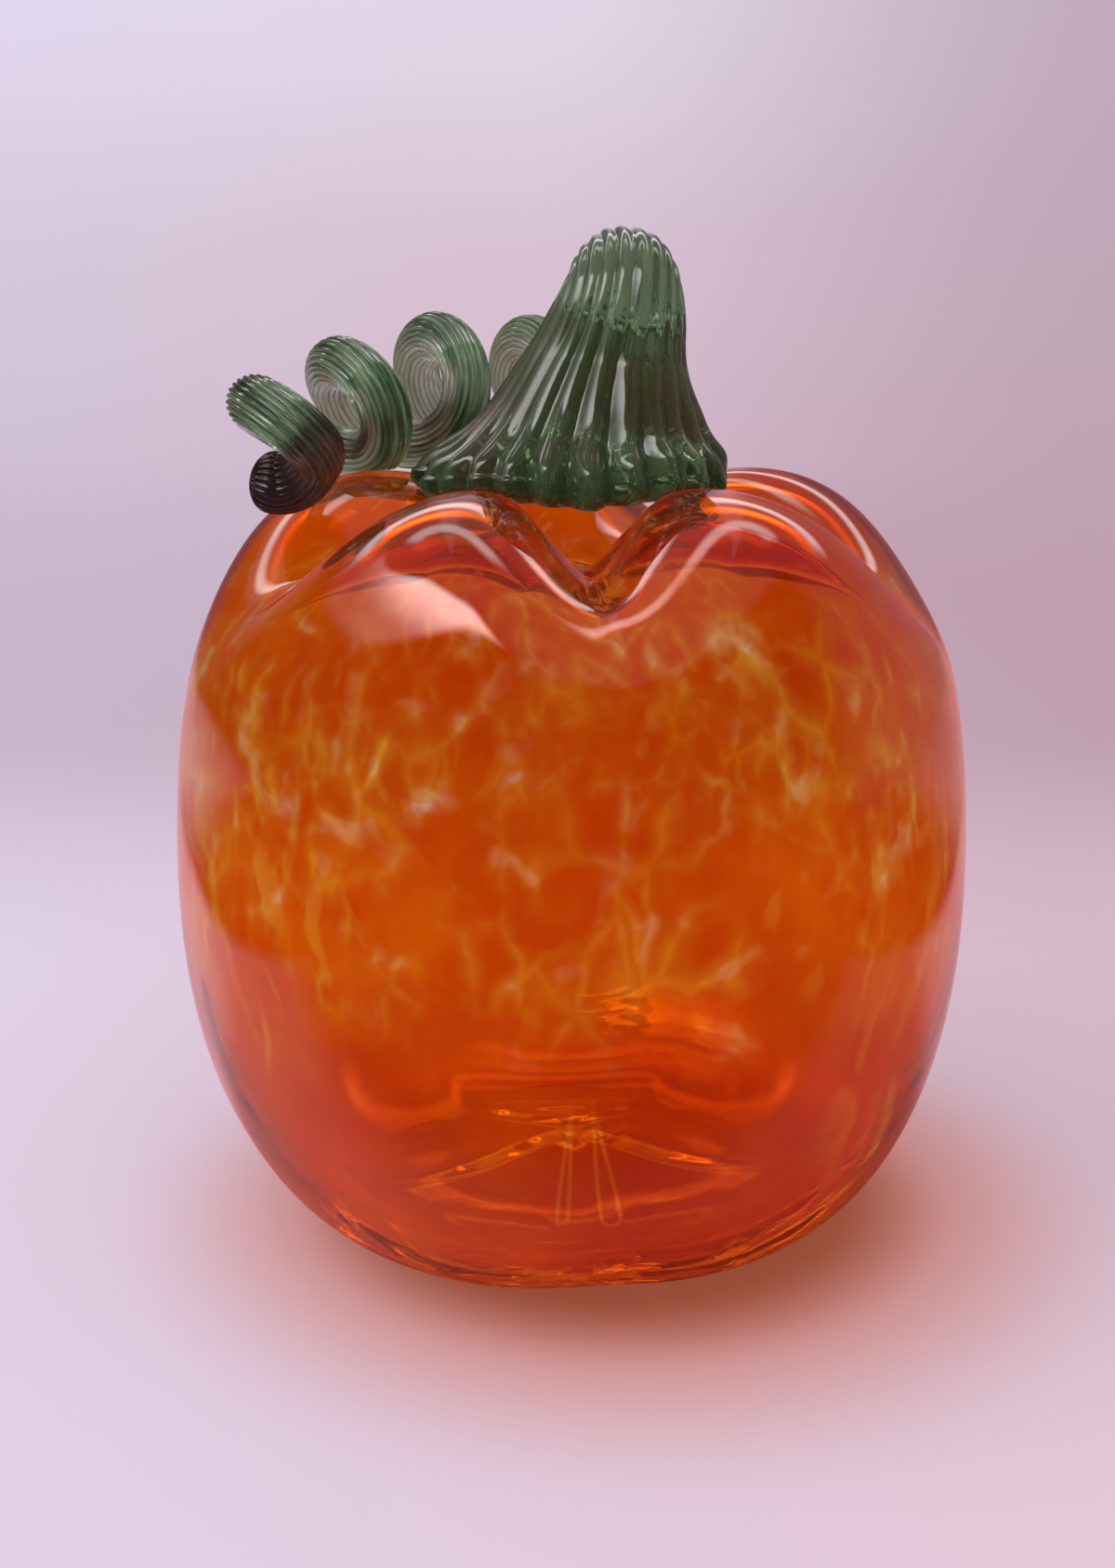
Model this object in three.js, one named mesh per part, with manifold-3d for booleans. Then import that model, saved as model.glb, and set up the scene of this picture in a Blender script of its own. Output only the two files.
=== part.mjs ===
// Hand-blown glass pumpkin: a hollow lobed body, a solid ribbed stem that covers the body's neck,
// and a curled ribbed vine laid across the crown beside the stem. Millimetres, +Z up. The origin
// is on the rest plane, on the body's axis, and the front of the object faces -Y.
import * as THREE from "three";
import { mergeVertices } from "three/addons/utils/BufferGeometryUtils.js";
import Module from "manifold-3d";

const wasm = await Module();
wasm.setup();

const { degToRad, lerp, smoothstep } = THREE.MathUtils;
const TURN = 2 * Math.PI;

// Body, outside form
const BODY_RADIUS = 90.5; // at the waist, over the lobes
const WAIST_RISE = 84; // lowest ring to the waist
const CROWN_RISE = 90.6; // waist to the top of the crown, before the crown is dimpled
const CROWN_FULLNESS = 0.34; // power of the cosine: less is squarer at the shoulder
const BASE_FULLNESS = 0.46;
const BASE_RISE_POWER = 0.95; // power of the sine below the waist: less is rounder at the foot
const DIMPLE_DEPTH = 26; // sunken middle of the crown, where the blowpipe was cracked off
const DIMPLE_RADIUS = 21;
const KICK_HEIGHT = 9; // pushed-up middle of the base
const KICK_RADIUS = 22;
const FOOT_GRIND = 0.9; // ground flat under the base, so that the body stands firm

// Body, lobes
const LOBES = 5;
const FIRST_GROOVE = degToRad(5.5); // azimuth from the front, towards +X
const CROWN_GROOVE = 18; // depth on the crown
const WAIST_GROOVE = 1.2;
const BASE_GROOVE = 3.2;
const CROWN_GROOVE_START = 123; // height where the waist's shallow groove starts to deepen
const CROWN_GROOVE_FULL = 176;
const CROWN_GROOVE_POWER = 1.5; // more keeps a groove shallow for longer above the waist
const BASE_GROOVE_END = 70; // height where the base's groove has run out
const GROOVE_FADE_RADIUS = 30; // grooves run out inside this radius
const GROOVE_SOFTNESS = 0.16; // rounds the bottom of a groove

// Body, wall
const WALL = 4;
const BASE_WALL = 7;
const NECK_RADIUS = 9; // opening in the dimple, under the stem
const POLE_RADIUS = 4; // first ring round the middle of the base

// Stem
const STEM_RIBS = 22;
const STEM_FOOT_RADIUS = 35.4;
const STEM_FOOT_ROUND = 3; // radius of the foot's rounded edge
const STEM_SETTLE = 0.9; // how far the hot foot settled onto the lobes
const STEM_FOOT_SAG = 2; // how far the foot sags into a groove
const STEM_SAG_END = 0.35; // share of the length where that sag has run out
const STEM_FLARE = 45; // length of the flare above the foot
const STEM_FLARE_POWER = 1.85;
const STEM_NECK_RADIUS = 13.2; // above the flare
const STEM_TIP_RADIUS = 9.5;
const STEM_TAPER_START = 0.5; // share of the length where the neck starts to narrow to the tip
const STEM_TIP_BLUNTNESS = 0.7; // length of the rounded tip, as a share of its radius
const STEM_HEIGHT = 41; // foot to the top of the bend, along the middle
const STEM_LEAN = 10.9; // how far the bend lies to the right of the foot
const STEM_HOOK = 28; // how far the tip reaches back
const STEM_RIB_DEPTH = 0.06; // share of the local radius
const STEM_FOOT_RIB_DEPTH = 0.1;
const STEM_FOOT_RIB_END = 0.25; // share of the length where the foot's deeper ribs end
const STEM_RIB_SOFTNESS = 0.12; // rounds the bottom of a valley between ribs
const STEM_RIB_TWIST = 0.35; // turn of the ribs from foot to tip, in radians
const STEM_UNDERSIDE_DROP = 3.5; // sag of the underside into the dimple
const STEM_LEVEL_END = 0.2; // rings lie level up to this share of the length
const STEM_SQUARE_START = 0.6; // and square to the bent middle line from this one

// Vine
const VINE_START_RADIUS = 6.2; // the cane, at the shoulder end
const VINE_END_RADIUS = 5.2;
const VINE_LUMP_RADIUS = 6.8; // swollen end, stuck to the shoulder
const VINE_LUMP_DROP = 6.8; // the lump hangs below the first turn, down the shoulder
const VINE_LUMP_TURNS = 0.22; // how much of a turn the swelling takes
const VINE_END_BLUNTNESS = 0.75; // length of a rounded end, as a share of its radius
const VINE_RIBS = 14;
const VINE_RIB_DEPTH = 0.1; // share of the cane's radius
const VINE_RIB_TWIST = 4; // turn of the ribs along the whole vine, in radians
const FIRST_TURN = -0.38; // turns of the curl are counted from the first one's near side
const LAST_TURN = 4.1;
const CURL_START_RADIUS = 11.4; // curl's axis to the middle of the cane
const CURL_END_RADIUS = 12.7;
const CURL_PITCH = 25;
const CURL_RUN_HEADING = degToRad(47); // direction of the curl's axis, from +X towards +Y
const CURL_RUN_START = -50; // along that direction, at turn 0
const CURL_BOW = 17; // how far the run's ends curve in towards the stem
const CURL_MIDDLE_TURN = 1.75;
const CURL_FACING_START = degToRad(-60); // direction from the axis to the near side of a turn
const CURL_FACING_END = degToRad(-30);
const CURL_TILT_START = degToRad(53); // how far a turn leans off upright
const CURL_TILT_END = degToRad(8);
const CURL_SETTLE = 1.3; // how far the turns settled into the crown while soft
const CURL_LIFT = 6.9; // how far the leaning first turn stands up off the shoulder
const CURL_LIFT_END = 0.42; // turn where that lift has run out
const CURL_CHANGE_START = 0.25; // turn where the facing and the tilt start to change
const CURL_FACING_TURNS = 1; // turns that the facing takes to change
const CURL_TILT_TURNS = 2.25;

// Fit between the pieces
const FUSE_GAP = 0.3;
const VINE_TO_STEM = 0.5; // widest part of the curl to the stem's foot, seen from above

// Fineness of the facets
const BODY_COLUMNS = 60;
const OUTER_ROWS = 29;
const BASE_ROWS = 4;
const INNER_ROWS = 17;
const POINTS_PER_STEM_RIB = 4;
const UNDERSIDE_ROWS = 2;
const FOOT_EDGE_ROWS = 3;
const FOOT_EDGE_START = degToRad(-65); // slope of the foot's rounded edge, from below
const FOOT_EDGE_END = degToRad(30);
const SHAFT_ROWS = 14;
const SHAFT_ROW_SPREAD = 1.15; // more than 1 brings the rows closer together near the foot
const ROUND_END_BENDS = [30, 62].map(degToRad); // rings on the rounded end of the stem or vine
const POINTS_PER_VINE_RIB = 2;
const VINE_ROWS = 84;

// Shared solids

// A closed skin over rings of points, with a point at each end. Seen against the direction from
// the first end to the last, each ring runs anticlockwise.
function loft(start, rings, end) {
  const count = rings[0].length;
  const points = [start, ...rings.flat(), end];
  const last = points.length - 1;
  const at = (ring, i) => 1 + ring * count + (i % count);
  const index = [];
  for (let i = 0; i < count; i++) {
    index.push(0, at(0, i + 1), at(0, i));
    index.push(last, at(rings.length - 1, i), at(rings.length - 1, i + 1));
    for (let ring = 0; ring < rings.length - 1; ring++) {
      index.push(at(ring, i), at(ring, i + 1), at(ring + 1, i + 1));
      index.push(at(ring, i), at(ring + 1, i + 1), at(ring + 1, i));
    }
  }
  return new THREE.BufferGeometry().setFromPoints(points).setIndex(index);
}

function solidOf(geometry) {
  const merged = mergeVertices(geometry);
  const vertProperties = merged.attributes.position.array;
  const triVerts = new Uint32Array(merged.index.array);
  return new wasm.Manifold(new wasm.Mesh({ numProp: 3, vertProperties, triVerts }));
}

function geometryOf(solid) {
  const mesh = solid.getMesh();
  return new THREE.BufferGeometry()
    .setAttribute("position", new THREE.BufferAttribute(mesh.vertProperties, 3))
    .setIndex(new THREE.BufferAttribute(mesh.triVerts, 1));
}

// Rounded ridges with narrow valleys, from 0 in a valley to 1 on a ridge.
function ridge(phase, softness) {
  const wave = Math.hypot(Math.sin(phase / 2), softness);
  return (wave - softness) / (Math.hypot(1, softness) - softness);
}

// The body's surface

// Heights below are first taken from the pole-to-pole form, then from the ground foot.
function formPoint(angle) {
  const sine = Math.sin(angle);
  const upper = angle > 0;
  const radius = BODY_RADIUS * Math.max(Math.cos(angle), 0) ** (upper ? CROWN_FULLNESS : BASE_FULLNESS);
  const dimple = DIMPLE_DEPTH * Math.exp(-((radius / DIMPLE_RADIUS) ** 2));
  const kick = KICK_HEIGHT * Math.exp(-((radius / KICK_RADIUS) ** 2));
  const height = upper
    ? WAIST_RISE + CROWN_RISE * sine - dimple
    : WAIST_RISE * (1 - (-sine) ** BASE_RISE_POWER) + kick;
  return new THREE.Vector2(radius, height);
}

function baseAngle(radius) {
  return -Math.acos((radius / BODY_RADIUS) ** (1 / BASE_FULLNESS));
}

// Past the body's side this is the waist.
function crownAngle(radius) {
  return Math.acos((Math.min(radius, BODY_RADIUS) / BODY_RADIUS) ** (1 / CROWN_FULLNESS));
}

// The foot ring: the lowest stretch of the base, and its inner and outer edge once ground.
function findFoot() {
  const step = 0.05;
  const heightAt = (radius) => formPoint(baseAngle(radius)).y;
  let middle = POLE_RADIUS;
  for (let radius = POLE_RADIUS; radius < BODY_RADIUS; radius += step) {
    if (heightAt(radius) < heightAt(middle)) middle = radius;
  }
  const rest = heightAt(middle) + FOOT_GRIND;
  let inner = middle;
  let outer = middle;
  while (inner > POLE_RADIUS + 2 * step && heightAt(inner - step) < rest) inner -= step;
  while (heightAt(outer + step) < rest) outer += step;
  return { inner, middle, outer, rest };
}

const foot = findFoot();

// The body's section without its lobes, from the base's middle at -PI/2 to the crown's at PI/2.
function sectionPoint(angle) {
  const point = formPoint(angle);
  point.y -= foot.rest;
  return point;
}

function sectionNormal(angle) {
  const step = 1e-3;
  const ahead = sectionPoint(Math.min(angle + step, Math.PI / 2));
  const behind = sectionPoint(Math.max(angle - step, -Math.PI / 2));
  const along = ahead.sub(behind).normalize();
  return new THREE.Vector2(along.y, -along.x);
}

function grooveDepth(radius, height) {
  const crown = smoothstep(height, CROWN_GROOVE_START, CROWN_GROOVE_FULL) ** CROWN_GROOVE_POWER;
  const base = 1 - smoothstep(height, 0, BASE_GROOVE_END);
  const extra = (CROWN_GROOVE - WAIST_GROOVE) * crown + (BASE_GROOVE - WAIST_GROOVE) * base;
  return (WAIST_GROOVE + extra) * smoothstep(radius, 0, GROOVE_FADE_RADIUS);
}

// 1 in the middle of a groove and 0 on a lobe.
function grooveAt(azimuth) {
  return 1 - ridge(LOBES * (azimuth - FIRST_GROOVE), GROOVE_SOFTNESS);
}

// A point on the body, lying inwards of its outer face by inset.
function bodyPoint(angle, azimuth, inset) {
  const { x: radius, y: height } = sectionPoint(angle);
  const normal = sectionNormal(angle);
  const inwards = inset + grooveDepth(radius, height) * grooveAt(azimuth);
  const r = Math.max(radius - normal.x * inwards, 0);
  const z = height - normal.y * inwards;
  return new THREE.Vector3(r * Math.sin(azimuth), -r * Math.cos(azimuth), z);
}

function bodyRing(angle, inset, lowest) {
  const ring = [];
  for (let i = 0; i < BODY_COLUMNS; i++) {
    const point = bodyPoint(angle, FIRST_GROOVE + (i / BODY_COLUMNS) * TURN, inset);
    point.z = Math.max(point.z, lowest);
    ring.push(point);
  }
  return ring;
}

// Angles whose rings lie evenly along the section, both ends included.
function spreadAngles(from, to, count) {
  const samples = 1200;
  const angleOf = (i) => lerp(from, to, i / samples);
  const lengths = [0];
  for (let i = 1; i <= samples; i++) {
    lengths.push(lengths[i - 1] + sectionPoint(angleOf(i)).distanceTo(sectionPoint(angleOf(i - 1))));
  }
  const angles = [];
  let i = 0;
  for (let k = 0; k < count; k++) {
    const wanted = (lengths[samples] * k) / (count - 1);
    while (i < samples && lengths[i] < wanted) i++;
    angles.push(angleOf(i));
  }
  return angles;
}

function wallAt(angle) {
  return lerp(WALL, BASE_WALL, smoothstep(-angle, 0, Math.PI / 2));
}

const outerAngles = [
  ...spreadAngles(baseAngle(POLE_RADIUS), baseAngle(foot.inner), BASE_ROWS),
  baseAngle(foot.middle),
  ...spreadAngles(baseAngle(foot.outer), crownAngle(NECK_RADIUS), OUTER_ROWS),
];

function makeBody() {
  const innerAngles = spreadAngles(baseAngle(POLE_RADIUS), crownAngle(NECK_RADIUS), INNER_ROWS);
  const outer = outerAngles.map((angle) => bodyRing(angle, 0, 0));
  const inner = innerAngles.map((angle) => bodyRing(angle, wallAt(angle), 0));
  const bottom = bodyPoint(-Math.PI / 2, 0, 0);
  const hollowBottom = bodyPoint(-Math.PI / 2, 0, BASE_WALL);
  return loft(bottom, [...outer, ...inner.reverse()], hollowBottom);
}

// The body's outer form without its hollow, grown by a gap. It trims what is fused to the body, and
// has the same facets as the body, so that the gap between them is even.
function bodyEnvelope(gap) {
  const rings = outerAngles.map((angle) => bodyRing(angle, -gap, -gap));
  return solidOf(loft(bodyPoint(-Math.PI / 2, 0, -gap), rings, bodyPoint(Math.PI / 2, 0, -gap)));
}

// Height of the crown between its grooves.
function crownHeight(radius) {
  return sectionPoint(crownAngle(radius)).y;
}

// The stem

const stemFootHeight = crownHeight(STEM_FOOT_RADIUS - STEM_FOOT_ROUND) + STEM_FOOT_ROUND - STEM_SETTLE;

// Middle of the stem: up from the foot with a lean to the right, then bent over backwards.
const stemLine = new THREE.CatmullRomCurve3(
  [
    [0, 0, 0],
    [0.08, 0, 0.12],
    [0.35, 0, 0.34],
    [0.66, 0, 0.58],
    [0.92, 0, 0.8],
    [1, 0.11, 0.94],
    [0.96, 0.43, 1],
    [0.84, 0.75, 0.96],
    [0.7, 1, 0.85],
  ].map(([lean, hook, rise]) => {
    return new THREE.Vector3(STEM_LEAN * lean, STEM_HOOK * hook, stemFootHeight + STEM_HEIGHT * rise);
  }),
  false,
  "centripetal",
);

function stemRadius(share) {
  const flare = Math.max(1 - (share * stemLine.getLength()) / STEM_FLARE, 0) ** STEM_FLARE_POWER;
  const shaft = lerp(STEM_NECK_RADIUS, STEM_TIP_RADIUS, smoothstep(share, STEM_TAPER_START, 1));
  return shaft + (STEM_FOOT_RADIUS - shaft) * flare;
}

// A ribbed ring of the stem's skin, which sags by droop where it crosses a groove of the body.
function stemRing(centre, right, back, radius, share, droop) {
  const depth = lerp(STEM_FOOT_RIB_DEPTH, STEM_RIB_DEPTH, smoothstep(share, 0, STEM_FOOT_RIB_END));
  const count = STEM_RIBS * POINTS_PER_STEM_RIB;
  const ring = [];
  for (let i = 0; i < count; i++) {
    const turn = (i / count) * TURN;
    const rib = ridge(STEM_RIBS * (turn + STEM_RIB_TWIST * share), STEM_RIB_SOFTNESS);
    const reach = radius * (1 - depth * (1 - rib));
    const point = centre.clone();
    point.addScaledVector(right, reach * Math.sin(turn));
    point.addScaledVector(back, -reach * Math.cos(turn));
    point.z -= droop * grooveAt(turn);
    ring.push(point);
  }
  return ring;
}

function makeStem(envelope) {
  const rings = [];
  let right = new THREE.Vector3(1, 0, 0);
  let back = new THREE.Vector3(0, 1, 0);
  const base = stemLine.getPointAt(0);
  const lowered = (drop) => base.clone().setZ(base.z - drop);
  // Underside, which sags into the dimple.
  for (let k = 1; k <= UNDERSIDE_ROWS; k++) {
    const out = k / (UNDERSIDE_ROWS + 1);
    const drop = STEM_FOOT_ROUND + STEM_UNDERSIDE_DROP * (1 - out ** 2);
    const droop = STEM_FOOT_SAG * out ** 2;
    rings.push(stemRing(lowered(drop), right, back, STEM_FOOT_RADIUS * out, 0, droop));
  }
  // The foot's rounded edge.
  for (let k = 0; k < FOOT_EDGE_ROWS; k++) {
    const bend = lerp(FOOT_EDGE_START, FOOT_EDGE_END, k / (FOOT_EDGE_ROWS - 1));
    const radius = STEM_FOOT_RADIUS - STEM_FOOT_ROUND * (1 - Math.cos(bend));
    const drop = -STEM_FOOT_ROUND * Math.sin(bend);
    rings.push(stemRing(lowered(drop), right, back, radius, 0, STEM_FOOT_SAG));
  }
  // Shaft.
  const firstShare = (2 * STEM_FOOT_ROUND) / stemLine.getLength();
  for (let k = 0; k < SHAFT_ROWS; k++) {
    const share = lerp(firstShare, 1, (k / (SHAFT_ROWS - 1)) ** SHAFT_ROW_SPREAD);
    const squareness = smoothstep(share, STEM_LEVEL_END, STEM_SQUARE_START);
    const along = new THREE.Vector3(0, 0, 1).lerp(stemLine.getTangentAt(share), squareness).normalize();
    right = new THREE.Vector3().crossVectors(back, along).normalize();
    back = new THREE.Vector3().crossVectors(along, right);
    const droop = STEM_FOOT_SAG * (1 - smoothstep(share, 0, STEM_SAG_END));
    rings.push(stemRing(stemLine.getPointAt(share), right, back, stemRadius(share), share, droop));
  }
  // Rounded tip.
  const tip = stemLine.getPointAt(1);
  const along = stemLine.getTangentAt(1);
  const tipLength = STEM_TIP_RADIUS * STEM_TIP_BLUNTNESS;
  const beyond = (length) => tip.clone().addScaledVector(along, length);
  for (const bend of ROUND_END_BENDS) {
    const centre = beyond(tipLength * Math.sin(bend));
    rings.push(stemRing(centre, right, back, STEM_TIP_RADIUS * Math.cos(bend), 1, 0));
  }
  const skin = loft(lowered(STEM_FOOT_ROUND + STEM_UNDERSIDE_DROP), rings, beyond(tipLength));
  return geometryOf(solidOf(skin).subtract(envelope));
}

// The vine

function caneRadius(turn) {
  const cane = lerp(VINE_START_RADIUS, VINE_END_RADIUS, (turn - FIRST_TURN) / (LAST_TURN - FIRST_TURN));
  const lump = 1 - smoothstep(turn, FIRST_TURN, FIRST_TURN + VINE_LUMP_TURNS);
  return cane + (VINE_LUMP_RADIUS - VINE_START_RADIUS) * lump;
}

// Middle of the cane. Its turns rest on the crown and pass the stem's foot on the left, from the
// shoulder to behind the stem. Near the shoulder they lean over and turn their edge to the front.
class VineLine extends THREE.Curve {
  arcLengthDivisions = 900;

  getPoint(t, target = new THREE.Vector3()) {
    const turn = lerp(FIRST_TURN, LAST_TURN, t);
    const run = CURL_RUN_START + CURL_PITCH * turn;
    const bow = CURL_BOW * ((turn - CURL_MIDDLE_TURN) / (LAST_TURN - CURL_MIDDLE_TURN)) ** 2;
    const side = STEM_FOOT_RADIUS + VINE_TO_STEM + CURL_END_RADIUS - bow;
    const turned = smoothstep(turn, CURL_CHANGE_START, CURL_CHANGE_START + CURL_FACING_TURNS);
    const settled = smoothstep(turn, CURL_CHANGE_START, CURL_CHANGE_START + CURL_TILT_TURNS);
    const facing = lerp(CURL_FACING_START, CURL_FACING_END, turned);
    const tilt = lerp(CURL_TILT_START, CURL_TILT_END, settled);
    const radius = lerp(CURL_START_RADIUS, CURL_END_RADIUS, settled);
    const lumpDrop = VINE_LUMP_DROP * (1 - smoothstep(turn, FIRST_TURN, FIRST_TURN + VINE_LUMP_TURNS));
    const x = run * Math.cos(CURL_RUN_HEADING) - side * Math.sin(CURL_RUN_HEADING);
    const y = run * Math.sin(CURL_RUN_HEADING) + side * Math.cos(CURL_RUN_HEADING);
    const lift = CURL_LIFT * (1 - smoothstep(turn, FIRST_TURN, CURL_LIFT_END));
    const seat = crownHeight(Math.hypot(x, y)) - CURL_SETTLE + lift;
    const outwards = radius * Math.cos(turn * TURN);
    const upwards = radius * Math.sin(turn * TURN);
    const sideways = -upwards * Math.sin(tilt);
    return target.set(
      x + outwards * Math.cos(facing) - sideways * Math.sin(facing),
      y + outwards * Math.sin(facing) + sideways * Math.cos(facing),
      seat + caneRadius(turn) + (radius + upwards) * Math.cos(tilt) - lumpDrop,
    );
  }
}

const vineLine = new VineLine();

function makeVine(envelope) {
  const frames = vineLine.computeFrenetFrames(VINE_ROWS, false);
  const count = VINE_RIBS * POINTS_PER_VINE_RIB;
  const ringAt = (centre, row, radius) => {
    const ring = [];
    for (let i = 0; i < count; i++) {
      const rib = i % POINTS_PER_VINE_RIB === 0 ? 1 : 0;
      const reach = radius * (1 - VINE_RIB_DEPTH * (1 - rib));
      const angle = (i / count) * TURN + (VINE_RIB_TWIST * row) / VINE_ROWS;
      const point = centre.clone();
      point.addScaledVector(frames.normals[row], reach * Math.cos(angle));
      point.addScaledVector(frames.binormals[row], reach * Math.sin(angle));
      ring.push(point);
    }
    return ring;
  };
  const rings = [];
  for (let row = 0; row <= VINE_ROWS; row++) {
    const share = row / VINE_ROWS;
    const turn = lerp(FIRST_TURN, LAST_TURN, vineLine.getUtoTmapping(share));
    rings.push(ringAt(vineLine.getPointAt(share), row, caneRadius(turn)));
  }
  // Rounded ends.
  const lump = (length) => vineLine.getPointAt(0).addScaledVector(frames.tangents[0], -length);
  const tip = (length) => vineLine.getPointAt(1).addScaledVector(frames.tangents[VINE_ROWS], length);
  for (const bend of ROUND_END_BENDS) {
    const away = VINE_END_BLUNTNESS * Math.sin(bend);
    rings.unshift(ringAt(lump(VINE_LUMP_RADIUS * away), 0, VINE_LUMP_RADIUS * Math.cos(bend)));
    rings.push(ringAt(tip(VINE_END_RADIUS * away), VINE_ROWS, VINE_END_RADIUS * Math.cos(bend)));
  }
  const start = lump(VINE_LUMP_RADIUS * VINE_END_BLUNTNESS);
  const skin = loft(start, rings, tip(VINE_END_RADIUS * VINE_END_BLUNTNESS));
  return geometryOf(solidOf(skin).subtract(envelope));
}

// The assembly

function piece(name, geometry, material) {
  const mesh = new THREE.Mesh(geometry, material);
  mesh.name = name;
  return mesh;
}

const orangeGlass = new THREE.MeshStandardMaterial({ color: 0xd8500c, roughness: 0.04, metalness: 0 });
const greenGlass = new THREE.MeshStandardMaterial({ color: 0x2f4a33, roughness: 0.05, metalness: 0 });
const vineGlass = new THREE.MeshStandardMaterial({ color: 0x5f7a55, roughness: 0.06, metalness: 0 });

const envelope = bodyEnvelope(FUSE_GAP);

const pumpkin = new THREE.Group();
pumpkin.add(piece("body", makeBody(), orangeGlass));
pumpkin.add(piece("stem", makeStem(envelope), greenGlass));
pumpkin.add(piece("vine", makeVine(envelope), vineGlass));

export default pumpkin;
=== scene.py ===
# Hand-blown glass pumpkin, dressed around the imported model. The sizes of its pieces are in
# millimetres and their meshes are made in metres. Patterns, floor and camera are in metres.
# The forms are those of the part's source, apart from the grooves of the base, which are 1.6 deep
# here and 3.2 there, and the stem's uneven ribs, lumps and toes and the vine's finer ribs.
# The front faces -Y.
import math

import bpy
import numpy as np
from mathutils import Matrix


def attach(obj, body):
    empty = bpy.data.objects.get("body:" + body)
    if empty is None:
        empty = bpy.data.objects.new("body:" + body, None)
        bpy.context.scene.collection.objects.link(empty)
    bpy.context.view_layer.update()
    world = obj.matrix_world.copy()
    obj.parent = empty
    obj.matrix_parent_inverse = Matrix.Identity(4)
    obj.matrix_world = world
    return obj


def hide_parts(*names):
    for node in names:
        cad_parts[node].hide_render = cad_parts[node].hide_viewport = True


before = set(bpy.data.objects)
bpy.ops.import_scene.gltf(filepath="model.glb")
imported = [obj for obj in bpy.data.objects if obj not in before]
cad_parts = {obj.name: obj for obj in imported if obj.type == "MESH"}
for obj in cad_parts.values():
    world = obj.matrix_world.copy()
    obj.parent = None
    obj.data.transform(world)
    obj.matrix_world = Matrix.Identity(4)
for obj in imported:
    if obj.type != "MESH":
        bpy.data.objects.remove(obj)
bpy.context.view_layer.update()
MM = 0.001
TURN = 2 * math.pi


def smooth(x, low, high):
    """0 up to low and 1 from high on, with a soft change between them."""
    t = np.clip((np.asarray(x, float) - low) / (high - low), 0, 1)
    return t * t * (3 - 2 * t)


def mix(a, b, t):
    """From a at t = 0 to b at t = 1."""
    return a + (b - a) * t


# Body, outside form
BODY_RADIUS = 90.5
WAIST_RISE = 84
CROWN_RISE = 90.6
CROWN_FULLNESS = 0.34
BASE_FULLNESS = 0.46
BASE_RISE_POWER = 0.95
DIMPLE_DEPTH = 26
DIMPLE_RADIUS = 21
KICK_HEIGHT = 9
KICK_RADIUS = 22
FOOT_GRIND = 0.9

# Body, lobes
LOBES = 5
FIRST_GROOVE = math.radians(5.5)
CROWN_GROOVE = 18
WAIST_GROOVE = 1.2
BASE_GROOVE = 1.6
CROWN_GROOVE_START = 123
CROWN_GROOVE_FULL = 176
CROWN_GROOVE_POWER = 1.5
BASE_GROOVE_END = 70
GROOVE_FADE_RADIUS = 30
GROOVE_SOFTNESS = 0.16

# Body, wall
WALL = 4
BASE_WALL = 7
NECK_RADIUS = 9
POLE_RADIUS = 4

BODY_COLUMNS = 300
OUTER_ROWS = 200
INNER_ROWS = 150
SECTION_SAMPLES = 4000
FOOT_STEP = 0.05
NORMAL_STEP = 1e-3


def ridge(phase, softness):
    """0 in a groove, where the phase is 0, and 1 on the ridge half a turn further."""
    wave = np.hypot(np.sin(phase / 2), softness)
    return (wave - softness) / (math.hypot(1, softness) - softness)


def form_point(angle):
    """Radius and height on the plain body, from -pi/2 under its middle to pi/2 over it."""
    sine = np.sin(angle)
    cosine = np.maximum(np.cos(angle), 0)
    upper = angle > 0
    radius = BODY_RADIUS * cosine ** np.where(upper, CROWN_FULLNESS, BASE_FULLNESS)
    dimple = DIMPLE_DEPTH * np.exp(-((radius / DIMPLE_RADIUS) ** 2))
    kick = KICK_HEIGHT * np.exp(-((radius / KICK_RADIUS) ** 2))
    below = WAIST_RISE * (1 - np.maximum(-sine, 0) ** BASE_RISE_POWER) + kick
    return radius, np.where(upper, WAIST_RISE + CROWN_RISE * sine - dimple, below)


def base_angle(radius):
    return -np.arccos((np.asarray(radius, float) / BODY_RADIUS) ** (1 / BASE_FULLNESS))


def crown_angle(radius):
    return np.arccos((np.minimum(radius, BODY_RADIUS) / BODY_RADIUS) ** (1 / CROWN_FULLNESS))


foot_radii = np.arange(POLE_RADIUS, BODY_RADIUS, FOOT_STEP)
rest = form_point(base_angle(foot_radii))[1].min() + FOOT_GRIND


def section_point(angle):
    """Radius and height over the plane that the ground foot stands on."""
    radius, height = form_point(np.asarray(angle, float))
    return radius, height - rest


def section_normal(angle):
    """The way out of the body, across its section."""
    r1, z1 = section_point(np.minimum(angle + NORMAL_STEP, math.pi / 2))
    r0, z0 = section_point(np.maximum(angle - NORMAL_STEP, -math.pi / 2))
    length = np.hypot(r1 - r0, z1 - z0)
    return (z1 - z0) / length, -(r1 - r0) / length


def groove_depth(radius, height):
    """Depth of the grooves, deepest in the crown and fading towards the axis."""
    crown = smooth(height, CROWN_GROOVE_START, CROWN_GROOVE_FULL) ** CROWN_GROOVE_POWER
    base = 1 - smooth(height, 0, BASE_GROOVE_END)
    extra = (CROWN_GROOVE - WAIST_GROOVE) * crown + (BASE_GROOVE - WAIST_GROOVE) * base
    return (WAIST_GROOVE + extra) * smooth(radius, 0, GROOVE_FADE_RADIUS)


def groove_at(azimuth):
    """1 in the middle of a groove and 0 on the middle of a lobe."""
    return 1 - ridge(LOBES * (azimuth - FIRST_GROOVE), GROOVE_SOFTNESS)


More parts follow.
